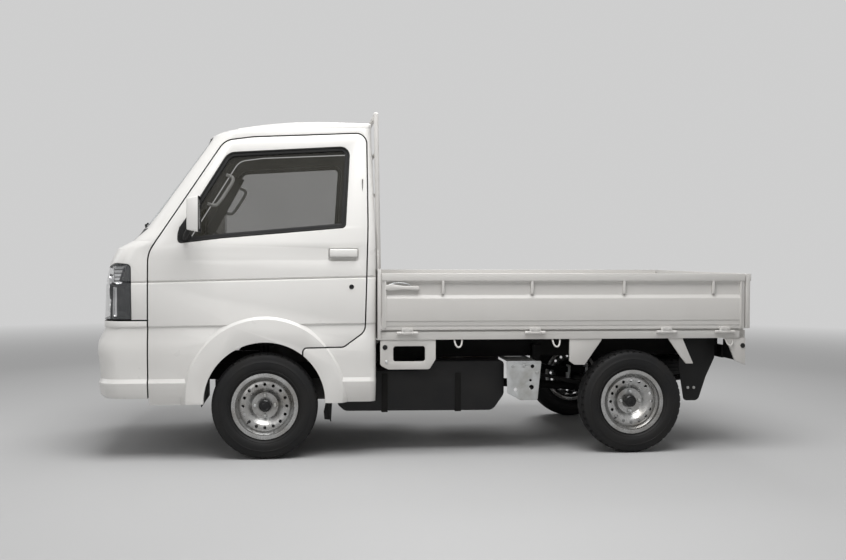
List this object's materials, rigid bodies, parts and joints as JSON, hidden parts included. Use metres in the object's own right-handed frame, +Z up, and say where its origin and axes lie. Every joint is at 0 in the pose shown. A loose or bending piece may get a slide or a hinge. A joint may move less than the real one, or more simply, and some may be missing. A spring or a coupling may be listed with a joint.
{
  "type": "kei truck",
  "caption": "Compact cab-over pickup truck with a glazed two-seat cab, steered and rolling wheels, opening doors and a flat load bed whose sides and tail fold down.",
  "frame": {"origin": "on the ground, midway along the truck, on its centreline", "axes": "+X forward to the nose, +Y to the truck's left, +Z up"},
  "size_m": [3.395, 1.839, 1.7649],
  "materials": {
    "body_paint": "gloss",
    "bed_paint": "gloss",
    "black_frame": "satin",
    "black_plastic": "matte",
    "wheel_steel": "satin",
    "tyre_rubber": "matte",
    "clear_glass": "clear",
    "lamp_clear": "clear",
    "lamp_red": "gloss",
    "galvanised": "satin",
    "cast_metal": "rough",
    "interior_plastic": "matte",
    "seat_cloth": "woven",
    "exhaust_steel": "aged"
  },
  "bodies": {
    "truck": {"battery_box": "black_plastic", "bed_beams": "bed_paint", "bed_brackets": "bed_paint", "bed_floor": "bed_paint", "bed_front_wall": "bed_paint", "bed_side_rails": "bed_paint", "cab_back_panel": "body_paint", "cab_floor": "interior_plastic", "cab_side_left": "body_paint", "cab_side_right": "body_paint", "chassis_frame": "black_frame", "cowl": "black_plastic", "dashboard": "interior_plastic", "engine": "cast_metal", "exhaust": "exhaust_steel", "front_arms": "black_frame", "front_bumper": "body_paint", "front_panel": "body_paint", "front_struts": "black_frame", "fuel_tank": "black_plastic", "guard_frame": "bed_paint", "headlamps": "lamp_clear", "leaf_springs": "black_frame", "mud_guards": "black_plastic", "propeller_shaft": "black_frame", "rear_axle": "black_frame", "rear_bumper": "black_frame", "rear_sill": "bed_paint", "rear_window": "clear_glass", "roof_panel": "body_paint", "seat_backs": "seat_cloth", "seat_cushions": "seat_cloth", "side_plate": "galvanised", "spare_rim": "wheel_steel", "spare_tyre": "tyre_rubber", "steering_column": "black_plastic", "tail_lamps": "lamp_red", "wheel_liners": "black_plastic", "windscreen": "clear_glass"},
    "left_door": {"left_door": "body_paint", "left_door_glass": "clear_glass", "left_mirror": "body_paint"},
    "right_door": {"right_door": "body_paint", "right_door_glass": "clear_glass", "right_mirror": "body_paint"},
    "left_knuckle": {"left_knuckle": "cast_metal"},
    "right_knuckle": {"right_knuckle": "cast_metal"},
    "front_left_wheel": {"front_left_tyre": "tyre_rubber", "front_left_rim": "wheel_steel"},
    "front_right_wheel": {"front_right_tyre": "tyre_rubber", "front_right_rim": "wheel_steel"},
    "rear_left_wheel": {"rear_left_tyre": "tyre_rubber", "rear_left_rim": "wheel_steel"},
    "rear_right_wheel": {"rear_right_tyre": "tyre_rubber", "rear_right_rim": "wheel_steel"},
    "steering_wheel": {"steering_wheel": "black_plastic"},
    "left_side_gate": {"left_side_gate": "bed_paint"},
    "right_side_gate": {"right_side_gate": "bed_paint"},
    "tail_gate": {"tail_gate": "bed_paint"}
  },
  "joints": [
    {"name": "left_door_hinge", "type": "hinge", "parent": "truck", "child": "left_door", "pos_m": [1.41, 0.727, 0.8], "axis": [0, 0, -1], "range_deg": [0, 65]},
    {"name": "right_door_hinge", "type": "hinge", "parent": "truck", "child": "right_door", "pos_m": [1.41, -0.727, 0.8], "axis": [0, 0, 1], "range_deg": [0, 65]},
    {"name": "steering", "type": "hinge", "parent": "truck", "child": "left_knuckle", "pos_m": [0.8425, 0.6, 0.268], "axis": [0, 0, 1], "range_deg": [-33, 33]},
    {"name": "right_steering", "type": "hinge", "parent": "truck", "child": "right_knuckle", "pos_m": [0.8425, -0.6, 0.268], "axis": [0, 0, 1], "range_deg": [-33, 33]},
    {"name": "steering_wheel_turn", "type": "hinge", "parent": "truck", "child": "steering_wheel", "pos_m": [1.2525, -0.33, 1.07], "axis": [-0.6157, 0, 0.788], "range_deg": [-635, 635]},
    {"name": "front_left_spin", "type": "hinge", "parent": "left_knuckle", "child": "front_left_wheel", "pos_m": [0.8425, 0.6525, 0.268], "axis": [0, 1, 0], "continuous": true},
    {"name": "front_right_spin", "type": "hinge", "parent": "right_knuckle", "child": "front_right_wheel", "pos_m": [0.8425, -0.6525, 0.268], "axis": [0, 1, 0], "continuous": true},
    {"name": "rear_left_spin", "type": "hinge", "parent": "truck", "child": "rear_left_wheel", "pos_m": [-1.0625, 0.645, 0.268], "axis": [0, 1, 0], "continuous": true},
    {"name": "rear_right_spin", "type": "hinge", "parent": "truck", "child": "rear_right_wheel", "pos_m": [-1.0625, -0.645, 0.268], "axis": [0, 1, 0], "continuous": true},
    {"name": "left_gate_hinge", "type": "hinge", "parent": "truck", "child": "left_side_gate", "pos_m": [-0.7, 0.727, 0.635], "axis": [-1, 0, 0], "range_deg": [0, 175]},
    {"name": "right_gate_hinge", "type": "hinge", "parent": "truck", "child": "right_side_gate", "pos_m": [-0.7, -0.727, 0.635], "axis": [1, 0, 0], "range_deg": [0, 175]},
    {"name": "tail_gate_hinge", "type": "hinge", "parent": "truck", "child": "tail_gate", "pos_m": [-1.6885, 0, 0.635], "axis": [0, -1, 0], "range_deg": [0, 175]}
  ],
  "couplings": [
    {"joint": "right_steering", "follows": "steering", "ratio": 1},
    {"joint": "steering_wheel_turn", "follows": "steering", "ratio": 19}
  ]
}
